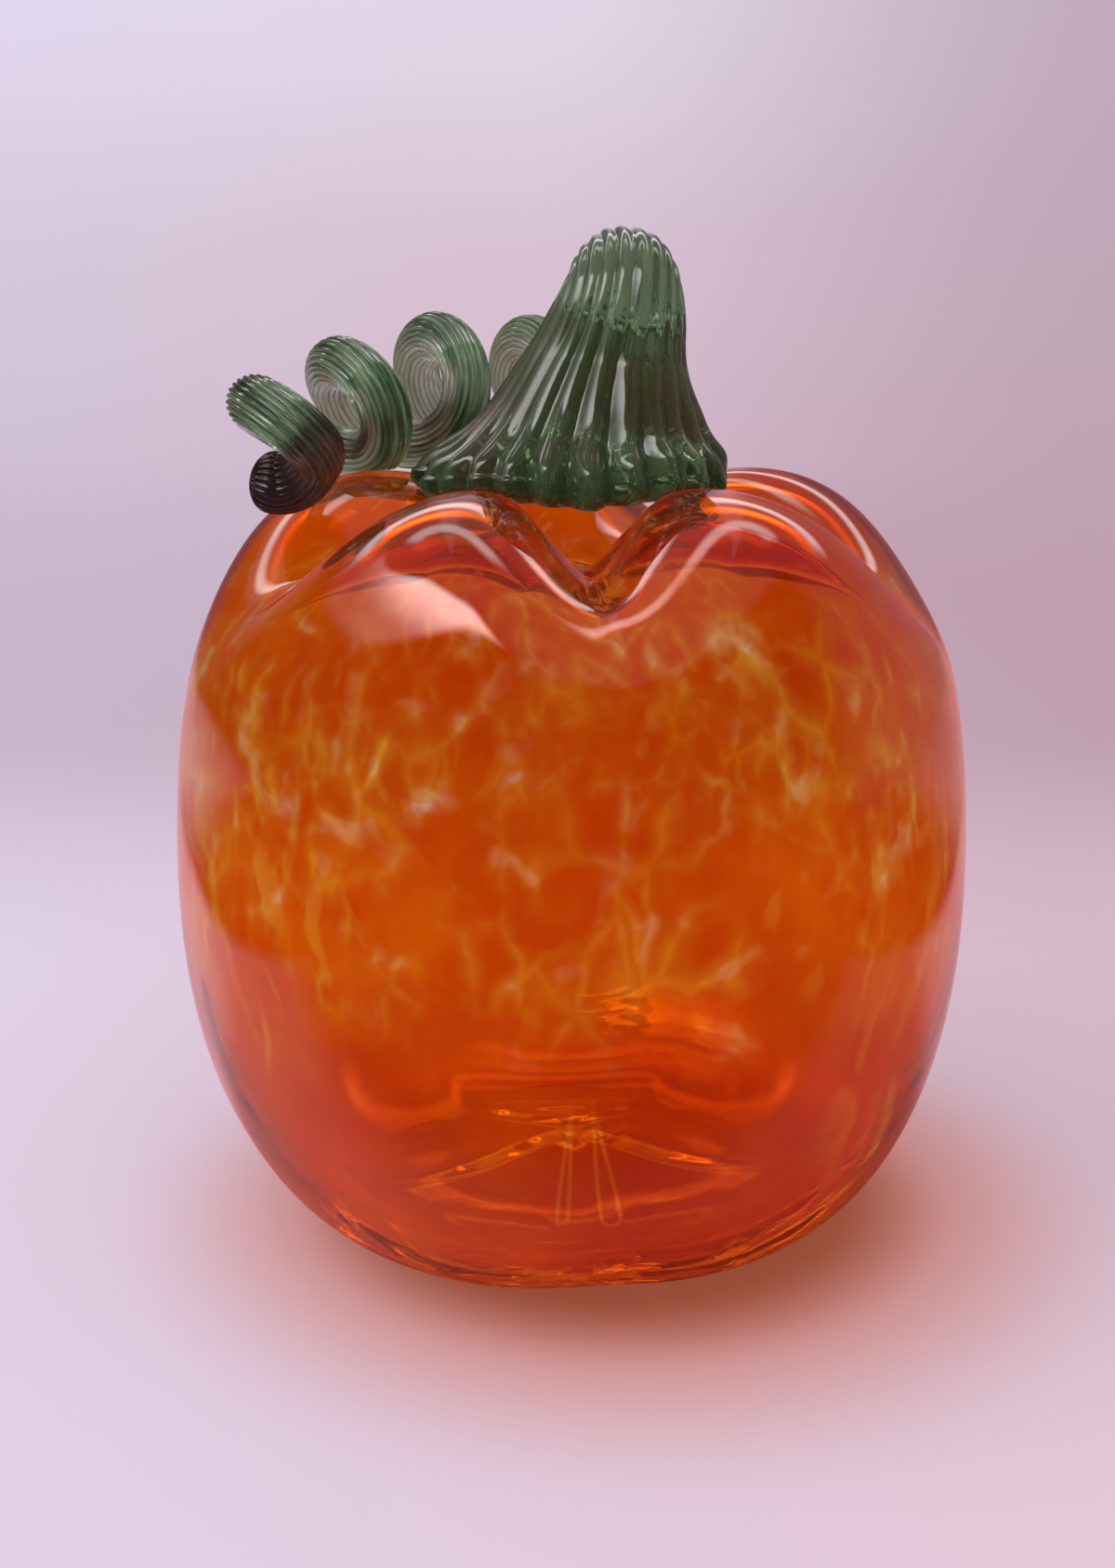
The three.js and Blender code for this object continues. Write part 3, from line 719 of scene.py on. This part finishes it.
def vine_curl(turn):
    """Middle of the cane at a turn, and the curl's own middle there."""
    run = CURL_RUN_START + CURL_PITCH * turn
    bow = CURL_BOW * ((turn - CURL_MIDDLE_TURN) / (LAST_TURN - CURL_MIDDLE_TURN)) ** 2
    side = STEM_FOOT_RADIUS + VINE_TO_STEM + CURL_END_RADIUS - bow
    turned = smooth(turn, CURL_CHANGE_START, CURL_CHANGE_START + CURL_FACING_TURNS)
    settled = smooth(turn, CURL_CHANGE_START, CURL_CHANGE_START + CURL_TILT_TURNS)
    facing = mix(CURL_FACING_START, CURL_FACING_END, turned)
    tilt = mix(CURL_TILT_START, CURL_TILT_END, settled)
    radius = mix(CURL_START_RADIUS, CURL_END_RADIUS, settled)
    drop = VINE_LUMP_DROP * (1 - smooth(turn, FIRST_TURN, FIRST_TURN + VINE_LUMP_TURNS))
    cosine, sine = math.cos(CURL_RUN_HEADING), math.sin(CURL_RUN_HEADING)
    x, y = run * cosine - side * sine, run * sine + side * cosine
    lift = CURL_LIFT * (1 - smooth(turn, FIRST_TURN, CURL_LIFT_END))
    seat = crown_height(np.hypot(x, y)) - CURL_SETTLE + lift
    outwards, upwards = radius * np.cos(turn * TURN), radius * np.sin(turn * TURN)
    sideways = -upwards * np.sin(tilt)
    low = seat + cane_radius(turn) - drop
    line = np.stack([
        x + outwards * np.cos(facing) - sideways * np.sin(facing),
        y + outwards * np.sin(facing) + sideways * np.cos(facing),
        low + (radius + upwards) * np.cos(tilt),
    ], -1)
    return line, np.stack([x, y, low + radius * np.cos(tilt)], -1)


def make_vine():
    """A loft along the curl, with ribs that twist, from the swollen end to the rounded tip."""
    samples = np.linspace(FIRST_TURN, LAST_TURN, CURL_SAMPLES)
    fine = vine_curl(samples)[0]
    lengths = np.concatenate([[0], np.cumsum(np.linalg.norm(np.diff(fine, axis=0), axis=1))])
    turns = np.interp(np.linspace(0, lengths[-1], VINE_ROWS), lengths, samples)
    line, middle = vine_curl(turns)
    inwards = middle - line
    inwards /= np.linalg.norm(inwards, axis=1)[:, None]
    tangents = np.gradient(line, axis=0)
    tangents /= np.linalg.norm(tangents, axis=1)[:, None]
    around = np.arange(VINE_COLUMNS) / VINE_COLUMNS * TURN
    normal = unit(np.cross(tangents[0], [0, 0, 1]))
    frames = []
    for tangent in tangents:
        normal = unit(normal - tangent * normal.dot(tangent))
        frames.append((normal, np.cross(tangent, normal)))

    rib = ridge(VINE_RIBS * around, VINE_RIB_SOFTNESS)
    order = []

    def spokes(row):
        angle = (around + VINE_RIB_TWIST * row / VINE_ROWS)[:, None]
        return np.cos(angle) * frames[row][0] + np.sin(angle) * frames[row][1]

    def ring(centre, row, radius):
        order.append(row)
        return centre + (radius * (1 - VINE_RIB_DEPTH * (1 - rib)))[:, None] * spokes(row)

    rings = [ring(line[row], row, float(cane_radius(turns[row]))) for row in range(VINE_ROWS)]
    last = VINE_ROWS - 1
    for bend in CAP_BENDS:
        out = VINE_END_BLUNTNESS * math.sin(bend)
        rings.insert(0, ring(line[0] - tangents[0] * VINE_LUMP_RADIUS * out, 0,
                             VINE_LUMP_RADIUS * math.cos(bend)))
        rings.append(ring(line[last] + tangents[last] * VINE_END_RADIUS * out, last,
                          VINE_END_RADIUS * math.cos(bend)))
    order = np.sort(order)
    flat = np.zeros(VINE_COLUMNS)
    length = np.interp(turns, samples, lengths)
    streak = [np.stack([np.cos(around), np.sin(around), flat + length[row] * STREAK_STRETCH], -1)
              for row in order]
    marks = {
        "rib": [rib for row in order],
        "along": [flat + turns[row] for row in order],
        "inside": [spokes(row) @ inwards[row] for row in order],
        "streak": streak,
    }
    start = line[0] - tangents[0] * VINE_LUMP_RADIUS * VINE_END_BLUNTNESS
    end = line[last] + tangents[last] * VINE_END_RADIUS * VINE_END_BLUNTNESS
    return lofted("vine_cane_glass", start, lay_on_crown(np.array(rings), FUSE_GAP), end, [sage],
                  marks=marks)


vine = make_vine()
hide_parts("vine")


def three_colours(n, value, places, colours):
    """A gradient through three colours."""
    first = n.blend(n.range(value, places[0], places[1]), rgb(colours[0]), rgb(colours[1]))
    return n.blend(n.range(value, places[1], places[2]), first, rgb(colours[2]))


def outside_mirror(n, path):
    """1 for what the outside of the glass mirrors. Rays through smooth glass count as glossy too."""
    outside = n.math("SUBTRACT", 1.0, path["Is Transmission Ray"])
    return n.math("MULTIPLY", path["Is Glossy Ray"], outside)


# Floor, in metres, which fades into the backdrop away from the pumpkin
FLOOR_HALF = 2.5
FLOOR_DROP = 0.0002
FADE_START = 0.6
FADE_END = 2.2
SHEET_FRONT = -0.25
SHEET_SIDE = 0.26
GLOW_MIDDLE = (0.012, -0.004, 0)
DARK = (0.012, 0.01, 0.012, 1)


def paper_colour(n, xyz):
    """Pale paper, cool at the left and pink at the right, darker behind."""
    near = three_colours(n, xyz["X"], (-0.2, -0.02, 0.2), ("dfd1e5", "dec7d7", "d8bac9"))
    ahead = n.blend(n.range(xyz["X"], -0.12, 0.12), rgb("e0d1e5"), rgb("e6ccdb"))
    near = n.blend(n.range(xyz["Y"], -0.12, 0.05), ahead, near)
    behind = three_colours(n, xyz["X"], (-0.3, 0.0, 0.3), ("c6b4c8", "c6acbc", "bd9eab"))
    return n.blend(n.range(xyz["Y"], 0.12, 0.5), near, behind)


def unlit_paper(n, xyz):
    """Where reflections show a dark room, past the paper, or the pumpkin's own shade on it."""
    ahead = n.range(xyz["Y"], SHEET_FRONT - 0.02, SHEET_FRONT, 1.0, 0.0)
    side = n.range(n.math("ABSOLUTE", xyz["X"]), SHEET_SIDE, SHEET_SIDE + 0.05)
    side = n.math("MULTIPLY", side, n.range(xyz["Y"], 0.15, 0.45, 1.0, 0.0))
    beside = n.range(xyz["X"], -0.1, 0.1, 0.4, 0.65)
    beside = n.math("MULTIPLY", beside, n.range(xyz["Y"], 0.0, 0.06, 1.0, 0.0))
    shade = n.math("MAXIMUM", n.range(xyz["Y"], -0.14, -0.03, 0.97, 0.0), beside)
    return n.math("MAXIMUM", n.math("MAXIMUM", ahead, side), shade)


def floor_material():
    material = bpy.data.materials.new("floor")
    material.use_nodes = True
    n = Nodes(material.node_tree)
    place = n.add("ShaderNodeTexCoord").outputs["Object"]
    xyz = n.add("ShaderNodeSeparateXYZ", {0: place}).outputs
    path = n.add("ShaderNodeLightPath").outputs
    # Orange round the foot, from the light that came through the glass
    away = n.add("ShaderNodeVectorMath", {0: place, 1: GLOW_MIDDLE}, operation="DISTANCE")
    away = away.outputs["Value"]
    pale = n.blend(n.range(away, 0.06, 0.125, 0.75, 0.0), paper_colour(n, xyz), rgb("dd8a78"))
    pale = n.blend(n.range(away, 0.05, 0.08, 0.9, 0.0), pale, rgb("b5603f"))
    unlit = n.math("MULTIPLY", unlit_paper(n, xyz), outside_mirror(n, path))
    diffuse = n.add("ShaderNodeBsdfDiffuse", {"Color": n.blend(unlit, pale, DARK)})
    # Seen through the glass, the paper keeps its own colour, and painted light makes it a little
    # brighter at the foot
    gathered = n.range(away, 0.06, 0.1, 0.12, 0.0)
    strength = n.math("MULTIPLY_ADD", gathered, path["Is Transmission Ray"], 1.0)
    shown = n.add("ShaderNodeEmission", {"Color": pale, "Strength": strength})
    through = n.math("MULTIPLY", path["Is Transmission Ray"], 0.8)
    plain = n.math("MULTIPLY", path["Is Camera Ray"], 0.45)
    share = n.math("MAXIMUM", through, plain)
    paper = n.add("ShaderNodeMixShader", {0: share, 1: diffuse.outputs[0], 2: shown.outputs[0]})
    far = n.add("ShaderNodeVectorMath", {0: place}, operation="LENGTH").outputs["Value"]
    faded = n.range(far, FADE_START, FADE_END)
    see_through = n.add("ShaderNodeBsdfTransparent")
    fade = n.add("ShaderNodeMixShader", {0: faded, 1: paper.outputs[0], 2: see_through.outputs[0]})
    n.add("ShaderNodeOutputMaterial", {"Surface": fade.outputs[0]})
    return material


def make_floor():
    corners = [(-1, -1), (1, -1), (1, 1), (-1, 1)]
    flat = [(FLOOR_HALF * x, FLOOR_HALF * y, -FLOOR_DROP) for x, y in corners]
    mesh = bpy.data.meshes.new("floor")
    mesh.from_pydata(flat, [], [(0, 1, 2, 3)])
    mesh.materials.append(floor_material())
    floor = bpy.data.objects.new("floor", mesh)
    bpy.context.collection.objects.link(floor)


make_floor()


# World. Places on it are degrees from the front towards the right, and over the horizon.


def window(n, value, low, high, soft):
    """1 between low and high, with soft edges."""
    above = n.range(value, n.math("SUBTRACT", low, soft), n.math("ADD", low, soft))
    below = n.range(value, n.math("SUBTRACT", high, soft), n.math("ADD", high, soft), 1.0, 0.0)
    return n.math("MULTIPLY", above, below)


def backdrop_colour(n, x, z):
    """Cool at the left and pink at the right, darker towards its foot."""
    across = (-0.3, -0.03, 0.29)
    foot = three_colours(n, x, across, ("cdbbd0", "cfb4c5", "c0a1ae"))
    middle = three_colours(n, x, across, ("d5c8db", "d8c1d1", "bfa7b6"))
    top = three_colours(n, x, across, ("e1d7ef", "e1d6e7", "c1aabd"))
    lower = n.blend(n.range(z, -0.14, 0.02), foot, middle)
    return n.blend(n.range(z, 0.0, 0.15), lower, top)


def room_colour(n, path, azimuth, height, rim, backdrop):
    """The backdrop, and what the glass shows beside it: dim sides, and a dark room in front that
    goes up to the soft box or the ceiling."""
    mirror = outside_mirror(n, path)
    low = n.range(n.math("SUBTRACT", height, rim), -3.0, 3.0, 1.0, 0.0)
    room = n.math("MULTIPLY", window(n, azimuth, -147.0, 84.0, 12.0), low)
    inner = n.math("MULTIPLY", n.math("MULTIPLY", room, path["Is Transmission Ray"]), 0.35)
    dim = n.math("MULTIPLY", n.range(azimuth, 60.0, 84.0), n.range(azimuth, 130.0, 170.0, 1.0, 0.0))
    aside = n.range(n.math("ABSOLUTE", azimuth), 168.0, 175.0, 1.0, 0.0)
    aside = n.math("MULTIPLY", aside, mirror)
    band = n.math("MULTIPLY", window(n, height, -4.0, 24.0, 3.0), aside)
    colour = n.blend(aside, backdrop, rgb("a08f9a"))
    colour = n.blend(band, colour, rgb("776470"))
    colour = n.blend(n.math("MULTIPLY", dim, mirror), colour, rgb("947f8a"))
    return n.blend(n.math("MULTIPLY_ADD", room, mirror, inner), colour, DARK)


def lamp_light(n, azimuth, height, rim):
    """A soft box high at the front left, and two strip lights overhead behind."""
    top_edge = n.range(azimuth, -105.0, -40.0, 52.0, 68.0)
    wide = window(n, azimuth, -112.0, 2.0, 5.0)
    box = n.math("MULTIPLY", wide, window(n, height, rim, top_edge, 2.5))
    box = n.math("MULTIPLY", box, n.range(height, 36.0, 62.0, 1.2, 10.0))
    box = n.math("MULTIPLY", box, n.range(azimuth, -105.0, -55.0, 0.25, 1.0))
    strips = n.math("ADD", window(n, height, 34.5, 41.0, 2.5), window(n, height, 61.0, 68.5, 2.5))
    back = n.math("MULTIPLY", n.range(n.math("ABSOLUTE", azimuth), 118.0, 135.0), strips)
    light = n.math("MULTIPLY_ADD", back, 3.5, box)
    return n.add("ShaderNodeCombineColor", {0: light, 1: light, 2: light}).outputs[0]


def make_world():
    world = bpy.data.worlds.new("studio")
    bpy.context.scene.world = world
    world.use_nodes = True
    n = Nodes(world.node_tree)
    direction = n.add("ShaderNodeTexCoord").outputs["Generated"]
    xyz = n.add("ShaderNodeSeparateXYZ", {0: direction}).outputs
    path = n.add("ShaderNodeLightPath").outputs
    azimuth = n.math("DEGREES", n.math("ARCTAN2", xyz["X"], n.math("MULTIPLY", xyz["Y"], -1.0)))
    height = n.math("DEGREES", n.math("ARCSINE", xyz["Z"]))
    # Lower edge of the soft box
    rim = n.range(azimuth, -76.0, 0.0, 28.0, 61.0)
    backdrop = backdrop_colour(n, xyz["X"], xyz["Z"])
    surround = room_colour(n, path, azimuth, height, rim, backdrop)
    surround = n.blend(1.0, surround, lamp_light(n, azimuth, height, rim), "ADD")
    shown = n.add("ShaderNodeBackground", {"Color": surround, "Strength": 1.0})
    # The light on the scene, plain but stronger from the soft box's side
    toward = n.add("ShaderNodeVectorMath", {0: direction, 1: (-0.55, -0.3, 0.78)},
                   operation="DOT_PRODUCT").outputs["Value"]
    level = n.range(toward, 0.1, 1.0, 0.4, 1.65)
    plain = n.add("ShaderNodeBackground", {"Color": (1.0, 0.98, 1.0, 1), "Strength": level})
    seen = n.math("MAXIMUM", path["Is Camera Ray"],
                  n.math("MAXIMUM", path["Is Glossy Ray"], path["Is Transmission Ray"]))
    both = n.add("ShaderNodeMixShader", {0: seen, 1: plain.outputs[0], 2: shown.outputs[0]})
    n.add("ShaderNodeOutputWorld", {"Surface": both.outputs[0]})


make_world()

# Camera, in metres and degrees, fitted to the outline of the pumpkin in the photograph
SENSOR = 36.0
PHOTO_HEIGHT = 1688
FOCAL_PIXELS = 2000
CAMERA_PLACE = (-0.0034, -0.4136, 0.2095)
CAMERA_DOWN = 14.73
camera_data = bpy.data.cameras.new("camera")
camera_data.sensor_fit = "AUTO"
camera_data.sensor_width = SENSOR
camera_data.sensor_height = SENSOR
camera_data.lens = SENSOR * FOCAL_PIXELS / PHOTO_HEIGHT
camera = bpy.data.objects.new("camera", camera_data)
bpy.context.collection.objects.link(camera)
camera.location = CAMERA_PLACE
camera.rotation_euler = (math.radians(90 - CAMERA_DOWN), 0, 0)
bpy.context.scene.camera = camera
bpy.context.scene.view_settings.view_transform = "Standard"

# Light goes to and fro in the thick walls of the glass
BOUNCES = 64
cycles = bpy.context.scene.cycles
cycles.max_bounces = BOUNCES
cycles.transmission_bounces = BOUNCES
cycles.glossy_bounces = BOUNCES
